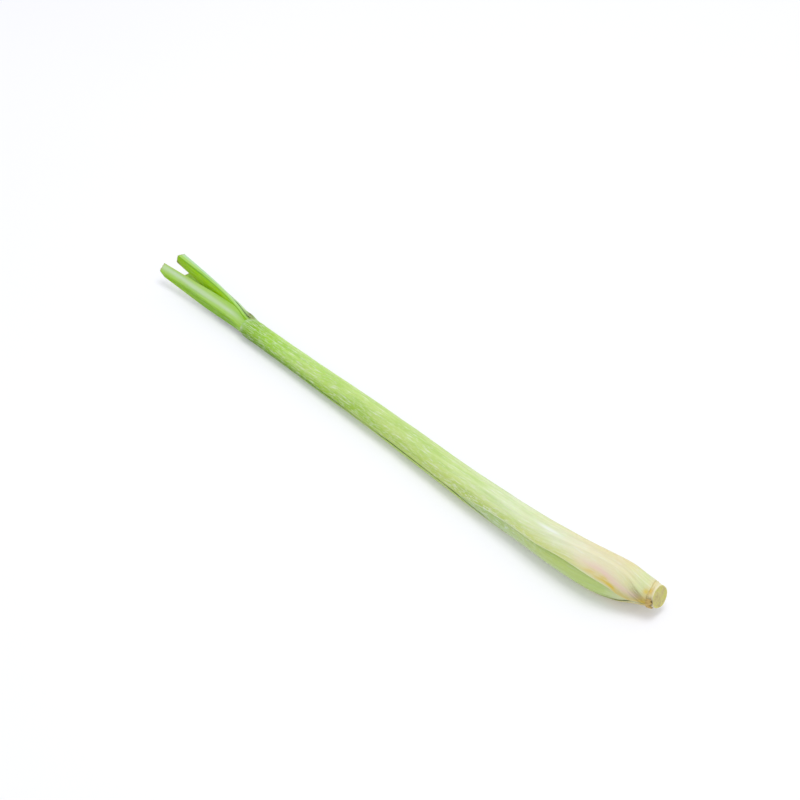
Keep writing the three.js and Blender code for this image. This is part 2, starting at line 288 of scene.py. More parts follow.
def sheath_section(index, s, v):
    """Outer and inner points (sideways, height) of the rolled sheath, and their angle phi: the keel's
    angle plus v times the arc, which narrows to the blade's arc at the collar."""
    leaf = LEAVES[index]
    mouth = soft_step(s, leaf["collar"] - 2.5, leaf["collar"] + 3)
    blade_arc = np.where(v < 0, *leaf["blade_arc"])
    phi = turned(leaf, s) + v * np.radians(along(leaf["half_arc"], s) * (1 - mouth) + blade_arc * mouth)
    radius = outer_radius(index, s, phi)
    thin = radius - wall_at(leaf, s, phi)
    outer, inner = (np.stack([r * np.cos(phi), axis_height(s) + r * np.sin(phi)], -1) for r in (radius, thin))
    return outer, inner, phi


def blade_half(leaf, s, share, sign, ridge):
    """One half of a folded blade: it leaves the ridge square to the keel's direction and bends to the
    fold by 1 - exp(-run / rounding). Its points are the sum of the short steps along that direction."""
    width = along(leaf["upper" if sign < 0 else "lower"], s)
    run = width * share
    turn = math.pi / 2 - math.radians(leaf["fold"])

    def heading(out):
        return turned(leaf, s) + sign * (math.pi / 2 + turn * (1 - np.exp(-out / KEEL_ROUNDING)))

    steps, middle = np.diff(run, axis=1), heading((run[:, :-1] + run[:, 1:]) / 2)
    walk = np.cumsum(np.stack([steps * np.cos(middle), steps * np.sin(middle)], -1), axis=1)
    outer = ridge + np.concatenate([np.zeros_like(walk[:, :1]), walk], axis=1)
    inward = heading(run) + sign * math.pi / 2
    thick = along(leaf["wall"], s) * (1 - 0.45 * share)
    inner = outer + thick[..., None] * np.stack([np.cos(inward), np.sin(inward)], -1)
    return outer, inner


def blade_section(index, s, v):
    """Outer and inner points of the folded blade: its ridge follows the leaf's keel path, which starts
    on the sheath's keel at the collar, and both halves are carried along it."""
    leaf = LEAVES[index]
    start = leaf["collar"]
    phi = turned(leaf, start)
    root = outer_radius(index, start, phi)
    path = [(start, root * np.cos(phi), axis_height(start) + root * np.sin(phi)), *leaf["keel_path"]]
    ridge = np.stack([along(path, s, 1), along(path, s, 2)], -1)
    upper = blade_half(leaf, s, -v[:, v[0] <= 0][:, ::-1], -1, ridge)
    lower = blade_half(leaf, s, v[:, v[0] >= 0], 1, ridge)
    return [np.concatenate([a[:, :0:-1], b], axis=1) for a, b in zip(upper, lower)]


print("outer leaf, keel 60 mm up, points to", along(LEAVES[0]["keel"], 60), "degrees")

# %% [markdown]
# ## Relief
#
# The smooth shape is too perfect: a real sheath has shallow dents where it was pressed against its
# neighbours, fine lengthwise ribs over its veins, and creases just above the root cut, where the
# dried plant has shrunk. These are worked out as a height in millimetres, small enough to stay clear
# of the next leaf.


# %% Height of the relief on a leaf
def root_creases(s, degrees):
    """Four slanting creases on the front, just above the root: they turn 6 degrees round the stalk
    for each millimetre towards the root, and fade out after a few millimetres."""
    slant = degrees - 145 + (s - 11.5) * 6.2
    lines = sum(hill(slant, k * 12 + 3 * math.sin(5 * k), 2.8) for k in range(-1, 3))
    return lines * hill(s, 9, 3.4)


def relief(index, s, phi, v):
    """Dents (long soft waves) plus ribs (a cosine across the leaf, one about every 1.6 mm, drawn a
    little coarser than the veins) less the root creases, plus a raised band and an ear at the
    collar. The second leaf swells a little where it fills the outer leaf's opening."""
    leaf = LEAVES[index]
    free = 1.0 if index == 0 else 0.3
    around = along(SHEATH_RADIUS, s) * v * math.pi
    dents = 0.13 * waves(s / 45, phi * 0.35, 11 + index) + 0.05 * waves(s / 14, phi, 23 + index)
    ribs = 0.02 * np.cos(2 * math.pi * around / RIB_SPACING) * soft_step(s, 20, 60)
    collar = 0.14 * hill(s, leaf["collar"] - 4, 1.4)
    degrees = np.degrees(phi)
    folds = 0.22 * root_creases(s, degrees) * (index == 0)
    ear = 0.8 * hill(s, 263, 3) * hill(degrees, 48, 25) * (index == 0)
    swollen = 0.2 * soft_step(s, 12, 18) * (1 - soft_step(s, 105, 118))
    swollen = swollen * hill(degrees, 190, 45) * (index == 1)
    return free * (dents + ribs + collar - folds) * soft_step(leaf["tip"] - s, 0, 12) + ear + swollen


sample = relief(0, np.array(10.0), np.array(0.3), np.array(0.0))
print("relief 10 mm up, behind:", round(float(sample), 3), "mm")

# %% [markdown]
# ## From grids to a closed mesh
#
# A leaf has an outer face, an inner face, two thin margins and two cut ends. If each row goes once
# round the leaf's section, over the outer face, round one margin, back along the inner face and round
# the other, the rows join up into a closed skin. Only the two ends are left, and they are closed by a
# strip of faces. Every vertex also remembers where it is on the leaf, so that a finish can follow the
# leaf: these are stored as named attributes.


# %% Skin of a leaf
def skin(name, outer, inner, facts):
    """Closed skin from two grids. Ring k of a row is: outer points, the lower margin's middle, inner
    points backwards, the upper margin's middle. Faces join row r to r + 1 and ring k to k + 1."""
    rim = (outer + inner) / 2
    out_of = 0.35 * (outer[:, [0, -1]] - outer[:, [1, -2]])
    points = np.concatenate(
        [outer, rim[:, -1:] + out_of[:, 1:], inner[:, ::-1], rim[:, :1] + out_of[:, :1]], axis=1
    )
    rows, columns = outer.shape[:2]
    ring = points.shape[1]
    number = np.arange(rows * ring).reshape(rows, ring)
    beside = np.roll(number, -1, axis=1)
    sides = np.stack([number[:-1], number[1:], beside[1:], beside[:-1]], -1).reshape(-1, 4)
    face, back = number[:, :columns], number[:, 2 * columns:columns:-1]
    base = np.stack([face[0, :-1], face[0, 1:], back[0, 1:], back[0, :-1]], -1)
    end = np.stack([face[-1, :-1], back[-1, :-1], back[-1, 1:], face[-1, 1:]], -1)
    corners = [
        [face[0, -1], number[0, columns], back[0, -1]], [back[0, 0], number[0, -1], face[0, 0]],
        [back[-1, -1], number[-1, columns], face[-1, -1]], [face[-1, 0], number[-1, -1], back[-1, 0]],
    ]
    faces = [*sides.tolist(), *base.tolist(), *end.tolist(), *np.array(corners).tolist()]
    mesh = bpy.data.meshes.new(name)
    mesh.from_pydata((points.reshape(-1, 3) * MM).tolist(), [], faces)
    inside = np.zeros((rows, ring))
    inside[:, columns + 1:2 * columns + 1] = 1
    inside[:, [columns, -1]] = 0.5
    remember(mesh, "inside", inside)
    for fact, value in facts.items():
        value = np.broadcast_to(value, (rows, columns))
        remember(mesh, fact, np.concatenate([value, value[:, -1:], value[:, ::-1], value[:, :1]], axis=1))
    mesh.shade_smooth()
    mesh.set_sharp_from_angle(angle=math.radians(50))
    return mesh


def remember(mesh, fact, values):
    """Stores one number per vertex as an attribute of the mesh."""
    mesh.attributes.new(fact, "FLOAT", "POINT").data.foreach_set("value", np.ravel(values).astype(np.float32))


def finished_piece(name, mesh, finish, slot, *nodes):
    """Gives the mesh its finish, puts it in the scene, rides it on the stalk and lets it stand for
    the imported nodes. A face of n corners is n - 2 triangles."""
    mesh.materials.append(finish)
    mesh.validate()
    piece = bpy.data.objects.new(name, mesh)
    bpy.context.scene.collection.objects.link(piece)
    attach(piece, "root")
    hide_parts(*nodes)
    triangles = len(mesh.loops) - 2 * len(mesh.polygons)
    places = np.empty(3 * len(mesh.vertices), np.float32)
    mesh.vertices.foreach_get("co", places)
    print(name, triangles, "triangles, mm", (np.ptp(places.reshape(-1, 3), axis=0) / MM).round(1))


# %% [markdown]
# ## Where a leaf's colour changes
#
# A finish needs to know a few things that depend on the whole leaf. They are worked out here as
# fields over the same grid: how much wax bloom lies on it, where the sheath blushes pink and orange
# near the root, where it has dried to tan along a margin or at a cut, and which side takes the
# darker, greener colours: partly the leaf's own deeper green, partly painted shade. On the outer
# leaf the bloom field also holds a painted highlight, and the tan some painted shade on the far top
# edge near the bulb.


# %% Rows and columns of a leaf's grid
def stations(leaf, zones):
    """Distances at which a leaf gets a row: even steps in each zone, and four close rows at its cut."""
    runs = [np.arange(start, end, step) for start, end, step in zones]
    inside = np.concatenate([run[(run > leaf["base"] + 0.2) & (run < leaf["tip"] - 1)] for run in runs])
    cut = leaf["tip"] - np.array([0.9, 0.45, 0.18, 0.06, 0])
    return np.concatenate([[leaf["base"], leaf["base"] + 0.15], inside, cut])[:, None]


def leaf_grids(index, zones, half_columns):
    """Outer and inner grids of a leaf in millimetres, and what each vertex remembers. Rows near the
    collar of the outer leaf slant by a sine of the angle, since its mouth does. The outer face may lie
    on the table, and the inner face stays 0.12 mm above it."""
    leaf = LEAVES[index]
    s = stations(leaf, zones)
    v = np.linspace(-1, 1, 2 * half_columns + 1)[None, :]
    outer, inner, phi = sheath_section(index, s, v)
    flat_outer, flat_inner = blade_section(index, s, np.broadcast_to(v, (len(s), v.shape[1])))
    change = soft_step(s, leaf["collar"] + 0.5, leaf["collar"] + 15)[..., None]
    outer, inner = outer * (1 - change) + flat_outer * change, inner * (1 - change) + flat_inner * change
    away = outer - inner
    away /= np.linalg.norm(away, axis=-1)[..., None]
    outer = outer + away * relief(index, s, phi, v)[..., None]
    reach = np.maximum(0, (s - leaf["collar"]) / (leaf["tip"] - leaf["collar"]))
    back = np.where(v < 0, *leaf["setback"]) * np.abs(v) * reach**2
    ragged = 0.22 * waves(v * 9, index, 40 + index) * soft_step(leaf["tip"] - s, 2.5, 0)
    torn = 0.2 * waves(v * 3, 0, 60 + index) * (1 - soft_step(s, leaf["base"], leaf["base"] + 2.5))
    mouth = MOUTH_SLANT * np.sin(phi - math.radians(95)) * hill(s, leaf["collar"], 8) * (index == 0)
    station = s - back + ragged + torn + mouth
    grids = [
        place(station, outer[..., 0], np.maximum(outer[..., 1], 0.0), SHIFT),
        place(station, inner[..., 0], np.maximum(inner[..., 1], 0.12), SHIFT),
    ]
    steps = np.cumsum(np.linalg.norm(np.diff(outer, axis=1), axis=-1), axis=1)
    run = np.concatenate([np.zeros((len(s), 1)), steps], axis=1)
    around = run - run[:, half_columns:half_columns + 1]
    facts = {
        "along": s, "around": around, "margin": np.minimum(run, run[:, -1:] - run),
        "cut": leaf["tip"] - s, "phi": phi % (2 * math.pi), "change": change[..., 0],
    }
    return grids, facts, s, v, phi


SHEATH_ZONES = [(0, 30, 0.5), (30, 130, 1.1), (130, 244, 1.9), (244, 275, 0.5), (275, 330, 1.2)]
HIDDEN_ZONES = [(0, 30, 1.2), (30, 125, 1.5), (125, 244, 5), (244, 275, 0.7), (275, 330, 1.0)]
print("rows on the outer leaf:", len(stations(LEAVES[0], SHEATH_ZONES)))

# %% [markdown]
# ## Colours and nodes
#
# Colours are given as sRGB hex codes, which is how a colour is read off a screen, but Cycles mixes
# light in linear values, so one function converts them. A second small function adds a node, sets it
# and links it. A material is then a list of such lines.


# %% Helpers for materials
def rgba(code):
    """Linear colour from an sRGB hex code: c / 12.92 when dark, else ((c + 0.055) / 1.055) ** 2.4."""
    parts = [int(code[i:i + 2], 16) / 255 for i in (0, 2, 4)]
    return (*[c / 12.92 if c <= 0.04045 else ((c + 0.055) / 1.055) ** 2.4 for c in parts], 1.0)


def add(tree, kind, inputs=None, out=0, stops=None, **settings):
    """Adds one node, sets its properties, then each input: an output is linked, a value is written.
    Stops are the places and colours of a colour ramp. Returns the output asked for."""
    node = tree.nodes.new(kind)
    for name, value in settings.items():
        setattr(node, name, value)
    for key, value in (inputs or {}).items():
        if isinstance(value, bpy.types.NodeSocket):
            tree.links.new(value, node.inputs[key])
        else:
            node.inputs[key].default_value = value
    if stops:
        ramp = node.color_ramp.elements
        while len(ramp) < len(stops):
            ramp.new(1.0)
        for element, (position, colour) in zip(ramp, stops):
            element.position, element.color = position, colour
    return node.outputs[out]


def new_material(name, settings):
    """Node material whose shader's sockets are set: returns the material, its tree and the shader."""
    material = bpy.data.materials.new(name)
    material.use_nodes = True
    tree = material.node_tree
    shader = tree.nodes["Principled BSDF"]
    for socket, value in settings.items():
        shader.inputs[socket].default_value = value
    return material, tree, shader


print("sRGB 808080 is", round(rgba("808080")[0], 3), "in linear light")

# %% [markdown]
# ## The finish of a leaf
#
# A grass leaf is a thin green skin, the epidermis, over pale tissue that shines through, with veins
# running its whole length and a bloom of wax on top. The wax is why it looks milky, why water rolls
# off it, and why its gloss is soft. So the finish is built in that order: the ground colour along the
# leaf, its two sides, the lower one partly painted shade, long veins, blotches, then wax in long thin
# dashes, then dried tissue at the margins and cuts. The pattern reads the leaf's own distances in
# millimetres, so that it bends with the leaf.


# %% Leaf material
RAMP_END = 330.0


def leaf_material(name, ground, side, ridge, ridge_width, wax, wax_and_highlight_colour, rough):
    """Ground colours over the distance along the leaf, then side, ridge, veins, wax, blush, dried
    tissue and cut, each mixed over the last one by its own field times a noise. The side colours hold
    painted shade in part, as do the third leaf's ridge and the outer leaf's tan, and the outer leaf's
    wax holds a painted highlight."""
    material, tree, shader = new_material(name, {
        "IOR": 1.38, "Specular IOR Level": 0.22, "Subsurface Weight": 0.1,
        "Subsurface Radius": (0.5, 1.0, 0.25), "Subsurface Scale": 0.0012,
    })
    fact = {
        key: add(tree, "ShaderNodeAttribute", attribute_name=key, out="Fac")
        for key in ("along", "around", "cut", "inside", "lower", "bloom", "scuff", "blush", "dry", "stain")
    }
    share = add(tree, "ShaderNodeMath", {0: fact["along"], 1: RAMP_END}, operation="DIVIDE")
    # The second ramp is for the lower side: partly the leaf's own deeper green, partly painted shade.
    colour, lower_side_and_shade = [
        add(tree, "ShaderNodeValToRGB", {0: share}, stops=[(at / RAMP_END, rgba(code)) for at, code in codes])
        for codes in (ground, side)
    ]
    colour = add(tree, "ShaderNodeMix", {0: fact["lower"], 6: colour, 7: lower_side_and_shade}, out=2, data_type="RGBA")

    # Leaf millimetres as a vector: x across, y along. Veins are 1.1 mm apart, drawn twice as coarse
    # as the finest real ones, and 60 times as long as they are wide.
    across = add(tree, "ShaderNodeCombineXYZ", {0: fact["around"], 1: fact["along"], 2: fact["inside"]})
    long = add(tree, "ShaderNodeVectorMath", {0: across, 1: (1.0, 0.016, 1.0)}, operation="MULTIPLY")
    streak = add(tree, "ShaderNodeVectorMath", {0: across, 1: (1.0, 0.09, 1.0)}, operation="MULTIPLY")
    veins = add(tree, "ShaderNodeTexNoise", {"Vector": long, "Scale": 0.9, "Detail": 3.0, "Roughness": 0.6})
    bands = add(tree, "ShaderNodeTexNoise", {"Vector": long, "Scale": 0.22, "Detail": 2.0})
    blotch = add(
        tree, "ShaderNodeTexNoise", {"Vector": streak, "Scale": 0.35, "Detail": 4.0, "Roughness": 0.6}
    )
    dash = add(tree, "ShaderNodeTexNoise", {"Vector": streak, "Scale": 1.3, "Detail": 4.0, "Roughness": 0.65})
    tissue = add(
        tree, "ShaderNodeTexNoise", {"Vector": across, "Scale": 1.6, "Detail": 4.0, "Roughness": 0.6}
    )

    # Ridge line over the midrib, which stands out as the keel: green on most leaves, while on the third
    # leaf it is a dark line of painted shade in the fold.
    off = add(tree, "ShaderNodeMath", {0: fact["around"]}, operation="ABSOLUTE")
    line = add(
        tree, "ShaderNodeMapRange", {0: off, 1: ridge_width * 1.3, 2: ridge_width * 0.6, 3: 0.0, 4: 1.0}
    )
    grown = add(tree, "ShaderNodeMapRange", {0: fact["along"], 1: 225.0, 2: 262.0, 3: 0.0, 4: 0.85})
    line = add(tree, "ShaderNodeMath", {0: line, 1: grown}, operation="MULTIPLY")
    colour = add(tree, "ShaderNodeMix", {0: line, 6: colour, 7: rgba(ridge)}, out=2, data_type="RGBA")

    # Veins and bands change how deep the green is; blotches make it warmer or cooler.
    deep = add(tree, "ShaderNodeMapRange", {0: veins, 1: 0.36, 2: 0.64, 3: 0.955, 4: 1.035})
    depth = add(tree, "ShaderNodeMapRange", {0: bands, 1: 0.3, 2: 0.7, 3: 0.96, 4: 1.04})
    both = add(tree, "ShaderNodeMath", {0: deep, 1: depth}, operation="MULTIPLY")
    warm = add(tree, "ShaderNodeMapRange", {0: blotch, 1: 0.44, 2: 0.64, 3: 0.0, 4: 0.38})
    green = add(tree, "ShaderNodeMapRange", {0: fact["along"], 1: 35.0, 2: 110.0, 3: 0.3, 4: 1.0})
    warm = add(tree, "ShaderNodeMath", {0: warm, 1: green}, operation="MULTIPLY")
    colour = add(tree, "ShaderNodeMix", {0: warm, 6: colour, 7: rgba("b9dc6e")}, out=2,
                 data_type="RGBA", blend_type="MULTIPLY")
    colour = add(tree, "ShaderNodeVectorMath", {0: colour, 3: both}, operation="SCALE")

    # Wax bloom: an even film where the field says so, and dashes 0.8 mm wide and about 9 mm long.
    # On the outer leaf the field also holds a painted highlight streak, drawn in the wax colour.
    film_and_highlight = add(tree, "ShaderNodeMapRange", {0: blotch, 1: 0.3, 2: 0.7, 3: 0.35, 4: 1.0})
    film_and_highlight = add(tree, "ShaderNodeMath", {0: film_and_highlight, 1: fact["bloom"]}, operation="MULTIPLY")
    dashes = add(tree, "ShaderNodeMapRange", {0: dash, 1: 0.53, 2: 0.68, 3: 0.0, 4: wax})
    wax_and_highlight = add(tree, "ShaderNodeMath", {0: film_and_highlight, 1: dashes}, operation="MAXIMUM")
    # Scuffs: where the skin rubbed, its wax broke into flecks about half a millimetre wide,
    # drawn out five times as long along the leaf.
    drawn = add(tree, "ShaderNodeVectorMath", {0: across, 1: (1.0, 0.2, 1.0)}, operation="MULTIPLY")
    rubbed = add(tree, "ShaderNodeTexNoise", {"Vector": drawn, "Scale": 1.5, "Detail": 5.0, "Roughness": 0.7})
    flecks = add(tree, "ShaderNodeMapRange", {0: rubbed, 1: 0.5, 2: 0.62, 3: 0.0, 4: 1.0})
    flecks = add(tree, "ShaderNodeMath", {0: flecks, 1: fact["scuff"]}, operation="MULTIPLY")
    wax_and_highlight = add(tree, "ShaderNodeMath", {0: wax_and_highlight, 1: flecks}, operation="MAXIMUM")

    # Blush: pink and orange pigment near the root, in streaks along the veins.
    streaks = add(tree, "ShaderNodeMapRange", {0: blotch, 1: 0.35, 2: 0.62, 3: 0.45, 4: 1.0})
    pink = add(tree, "ShaderNodeMath", {0: fact["blush"], 1: streaks}, operation="MULTIPLY")

    # Dry tissue: tan fibres where the margin has died back; on the outer leaf the same tan is also
    # painted shade on the far top edge near the bulb. Dark marks: darker brown where that field says so.
    fibres = add(tree, "ShaderNodeMapRange", {0: dash, 1: 0.35, 2: 0.6, 3: 0.35, 4: 1.0})
    tan_and_shade = add(tree, "ShaderNodeMath", {0: fact["dry"], 1: fibres}, operation="MULTIPLY")
    spots = add(tree, "ShaderNodeMapRange", {0: tissue, 1: 0.35, 2: 0.62, 3: 0.5, 4: 1.0})
    dark = add(tree, "ShaderNodeMath", {0: fact["stain"], 1: spots}, operation="MULTIPLY")

    # The inner face of a sheath is paler and cleaner than the outer one, and the pale colour is also
    # painted light, which lifts the shade on inner faces seen between the leaves.
    inside_pale_and_lit = add(tree, "ShaderNodeMath", {0: fact["inside"], 1: 0.65}, operation="MULTIPLY")

    # The cut edge: pale tissue, then a rim that browned as it dried.
    brown = add(tree, "ShaderNodeMapRange", {0: fact["cut"], 1: 0.9, 2: 0.1, 3: 0.0, 4: 0.7})
    brown = add(tree, "ShaderNodeMath", {0: brown, 1: spots}, operation="MULTIPLY")

    # Each of these lies over the ones before it.
    layers = [
        (wax_and_highlight, wax_and_highlight_colour), (pink, "e0c9b6"), (tan_and_shade, "d6bc40"), (dark, "74553a"), (inside_pale_and_lit, "d4e6a0"),
        (brown, "a79a55"),
    ]
    for field, code in layers:
        colour = add(tree, "ShaderNodeMix", {0: field, 6: colour, 7: rgba(code)}, out=2, data_type="RGBA")
    tree.links.new(colour, shader.inputs["Base Color"])

    # Wax scatters the gloss, so it is rougher than the bare epidermis.
    gloss = add(tree, "ShaderNodeMapRange", {0: wax_and_highlight, 1: 0.0, 2: 1.0, 3: rough, 4: rough + 0.18})
    tree.links.new(gloss, shader.inputs["Roughness"])

    # Veins and wax dashes stand a few hundredths of a millimetre above the skin between them.
    height = add(tree, "ShaderNodeMath", {0: veins, 1: dash}, operation="ADD")
    bump = add(tree, "ShaderNodeBump", {"Strength": 0.5, "Distance": 0.0002, "Height": height})
    tree.links.new(bump, shader.inputs["Normal"])
    return material


# %% [markdown]
# ## The outer leaf
#
# The outermost sheath is most of what is seen. It is cream at the bulb, where it grew in the dark
# under the soil's mulch, and greener towards the collar. It doesn't close all the way round: on the
# lower front its margins part over the thickest part of the bulb and show the second leaf. Its
# margins are thin and papery, and dried to tan near the root.

# %% Outer leaf
grids, facts, s, v, _ = leaf_grids(0, SHEATH_ZONES, 56)
degrees = np.degrees(facts["phi"])
sheath_part = 1 - facts["change"]
# The front and lower side, from between 110 and 135 degrees round to about 300, takes the side ramp, which is
# partly painted shade.
start = 135 - 24 * soft_step(s, 28, 42) * (1 - soft_step(s, 170, 220))
facts["lower"] = soft_step(degrees, start, start + 50) * (1 - soft_step(degrees, 300, 350))
facts["bloom"] = (
    sheath_part * soft_step(s, 60, 190) * hill(degrees, 50, 28) * 0.1 + facts["change"] * 0.5
    # A white streak 56 mm up, near the top, is a painted highlight in the wax colour.
    + hill(s, 56, 7) * hill(degrees, 99, 6) * 1.6
    + hill(facts["margin"], 0, 0.4) * (1 - soft_step(s, 90, 110)) * 0.8
    + hill(s, 258, 0.6) * hill(degrees, 92, 22) * 0.5 + hill(s, 257.6, 1.2) * hill(degrees, 156, 11) * 0.8
)
facts["scuff"] = (
    hill(s, 84, 26) * hill(degrees, 166, 18) * 0.95 + sheath_part * soft_step(s, 100, 250) * 0.14
    + hill(s, 150, 60) * hill(degrees, 160, 25) * 0.2 + hill(s, 251, 4) * hill(degrees, 85, 25) * 0.2 + 0.16
)
slant = 128 + np.maximum(26 - s, 0) * 2.45
facts["blush"] = hill(degrees, slant, 10) * soft_step(s, 6, 12) * (1 - soft_step(s, 26, 42))
facts["blush"] = facts["blush"] + 0.15 * hill(s, 26, 14) * hill(degrees, 90, 40)
by_margin = hill(facts["margin"], 0.5 + 1.6 * soft_step(s, 14, 24), 1.3) * hill(s, 23, 10)
by_root = 0.1 * hill(s, 5.4, 0.7) + hill(s, 6.1, 1.2) * hill(degrees, 137, 11)
by_root = by_root + hill(s, 6.5, 2.2) * hill(degrees, 185, 22)
# The tan on the far top edge near the bulb is painted shade.
behind = 0.36 * hill(degrees, 55, 25) * soft_step(s, 8, 18) * (1 - soft_step(s, 45, 75))
facts["dry"] = np.clip((1.1 + 0.5 * waves(s / 5, v * 8, 81)) * by_margin + by_root + behind, 0, 1)
# Dark marks: the brown mark at the collar and along the margin there, darker lines along the root creases,
# and a faint band at the base edge underneath.
facts["stain"] = (
    hill(s, 261.2, 2.4) * hill(degrees, 67, 17) + 0.8 * root_creases(s, degrees)
    + 0.7 * hill(s, 263.5, 1.5) * hill(facts["margin"], 0, 0.8) * (v > 0)
    + 0.2 * hill(s, 5.3, 0.5) * hill(degrees, 180, 25)
)
outer_finish = leaf_material(
    "Outer leaf sheath, waxed epidermis",
    ground=[
        (5, "dad2a2"), (8, "d0d8a0"), (14, "dad8a4"), (20, "ded8b0"), (38, "dfddb9"), (50, "dbe0bd"),
        (65, "d5dfae"), (80, "d4e0b2"), (100, "cbdc9c"), (125, "c1d786"), (150, "c0d780"),
        (200, "b6d66e"), (225, "b2d66c"), (240, "a6d04e"), (254, "90bc38"), (262, "9cc870"),
        (275, "b4d69c"), (306, "a2ca88"),
    ],
    # Lower side: partly the sheath's own deeper green, partly painted shade, which deepens towards the
    # collar.
    side=[
        (5, "cdbf80"), (12, "c9bd84"), (20, "cdc67c"), (30, "c8d06e"), (70, "c4d276"), (100, "bace6c"),
        (150, "b6d066"), (200, "98be34"), (240, "7aa814"), (256, "6c9410"), (270, "a4ca84"),
        (306, "9cc47a"),
    ],
    ridge="c4dc8c", ridge_width=0.5, wax=0.6, wax_and_highlight_colour="e2e8d8", rough=0.42,
)
mesh = skin("outer_leaf_sheath", *grids, facts)
finished_piece("outer_leaf_sheath", mesh, outer_finish, "outer_sheath", "outer_leaf")

# %% [markdown]
# ## The leaves inside
#
# Inside a stalk each leaf is younger than the one that wraps it. The second leaf shows as a greener
# strip through the outer leaf's opening, and its blade lies at the front of the cut end. The third
# leaf's blade stands up in the middle, and the inner leaf's is the youngest and the brightest. They
# share one way of making, and differ in their fields and colours.

# %% Second leaf
grids, facts, s, _, phi = leaf_grids(1, HIDDEN_ZONES, 30)
# The blade's lower half takes the side ramp: a deeper green, partly painted shade.
facts["lower"] = soft_step(facts["around"], 0.1, 0.7) * facts["change"]
facts["bloom"] = facts["change"] * hill(facts["around"], -2.7, 1.4) * 0.9
in_opening = soft_step(s, 30, 45) * (1 - soft_step(s, 90, 115))
facts["bloom"] = facts["bloom"] + 0.6 * hill(np.degrees(phi), 205, 18) * in_opening
facts["scuff"] = 0.9 * hill(s, 17, 3) + 0.95 * hill(s, 86, 26) + 0.12
facts["blush"] = 0.2 * hill(s, 16, 6)
facts["dry"] = hill(facts["margin"], 0, 0.3) * facts["change"] * soft_step(s, 285, 300) * 0.4
facts["stain"] = 0.0
second_finish = leaf_material(
    "Second leaf, green grass blade",
    ground=[
        (9, "d8d6a4"), (16, "c6d49a"), (24, "b9ce7c"), (50, "b8cb74"), (70, "b8ca86"), (118, "aac46a"),
        (230, "9cc652"), (256, "9fca4e"), (285, "a6d05c"), (320, "a4ce54"),
    ],
    side=[
        (9, "d8d6a4"), (118, "a8c060"), (250, "84ac14"), (262, "7cac06"), (285, "80b204"),
        (320, "8cba0a"),
    ],
    ridge="96c62c", ridge_width=0.35, wax=0.25, wax_and_highlight_colour="ccdcc0", rough=0.38,
)
mesh = skin("second_leaf_blade", *grids, facts)
finished_piece("second_leaf_blade", mesh, second_finish, "green_leaf", "second_leaf")

# %% Third leaf
grids, facts, s, *_ = leaf_grids(2, HIDDEN_ZONES, 26)
# The blade's lower half takes the side ramp: a deeper green, partly painted shade.
facts["lower"] = soft_step(facts["around"], 0.0, 0.35)
facts["bloom"] = facts["change"] * soft_step(facts["around"], -1.2, -2.2) * 0.75
facts["scuff"] = 0.08
facts["blush"] = 0.0
facts["dry"] = (
    hill(facts["margin"], 0, 0.35) * soft_step(facts["around"], 0, 1) * soft_step(s, 290, 312) * 0.9
)
facts["stain"] = hill(s, 316.5, 2.5) * soft_step(facts["around"], 1.8, 3.2)
third_finish = leaf_material(
    "Third leaf, green grass blade",
    ground=[(14, "d8dca4"), (118, "b8d07a"), (250, "a0cc54"), (285, "a8d266"), (316, "a8d060")],
    side=[
        (14, "d8dca4"), (118, "a8c860"), (250, "8cbe06"), (275, "98c802"), (300, "9ece02"),
        (316, "94c006"),
    ],
    # The dark ridge colour is painted shade in the fold.
    ridge="74a812", ridge_width=0.35, wax=0.12, wax_and_highlight_colour="bddcc2", rough=0.38,
)
mesh = skin("third_leaf_blade", *grids, facts)
finished_piece("third_leaf_blade", mesh, third_finish, "green_leaf", "third_leaf")

# %% Inner leaf
grids, facts, *_ = leaf_grids(3, HIDDEN_ZONES, 24)
# The blade's lower half takes the side ramp: a deeper green, partly painted shade.
facts["lower"] = soft_step(facts["around"], -0.1, 0.6)
facts["bloom"] = facts["change"] * 0.15
facts["scuff"] = 0.1
facts["blush"] = 0.0
facts["dry"] = hill(facts["margin"], 0, 0.25) * facts["change"] * 0.3
facts["stain"] = 0.0
inner_finish = leaf_material(
    "Inner leaf, young grass blade",
    ground=[(19, "e2e4b0"), (118, "c4dc86"), (250, "acd83c"), (310, "b8e060")],
    side=[(19, "e2e4b0"), (118, "c0d87c"), (250, "90c80c"), (310, "8cc40c")],
    ridge="c0e24c", ridge_width=0.5, wax=0.2, wax_and_highlight_colour="c8e4a8", rough=0.35,
)
mesh = skin("inner_leaf_blade", *grids, facts)
finished_piece("inner_leaf_blade", mesh, inner_finish, "young_leaf", "inner_leaf")

# %% [markdown]
# ## The cut stub
#
# At the root end the leaves were cut away through the stem. The stub is a body of revolution: a
# profile of distance and radius, carried round the stalk's axis. Its face is nearly flat, with the
# knife's shallow waves, and its side carries the rings where older leaves were attached. The face
# needs many close rings of its own, because its finish changes from a woody rim to paler flesh with
# bundles of fibres.


# %% Stem
SHOULDER = 4.8
KNIFE_DEPTH = 0.12
STEM_TIP = 44.3


def stub_profile():
    """Share of the way down the side and radius of each ring: across the face from its middle to the rim
    (share 0), round the rim's edge, down the side to the sheath (share 1), then on inside the sheaths
    to the growing tip, where it is 1 plus the millimetres beyond the shoulder."""
    face = np.linspace(0.25, CUT_RADIUS - 0.25, 20)
    share = np.linspace(0.02, 1, 26)
    hidden = np.array([5.4, 6, 7, 9, 12, 14, 17, 20, 26, 32, 38, 42, 44])
    hidden_radius = np.minimum(along(STEM_RADIUS, hidden), 4.2)
    # Two wide rings behind the shoulder close the sheath's mouth. They cross its wall there.
    hidden_radius[:2] = 5.35, 5.1
    side = along(STEM_RADIUS, STUB_LENGTH * share)
    radius = np.concatenate([face, [CUT_RADIUS - 0.06], side, hidden_radius])
    down = np.concatenate([np.zeros_like(face), [0.005], share, hidden - SHOULDER + 1])
    return down[:, None], radius[:, None]


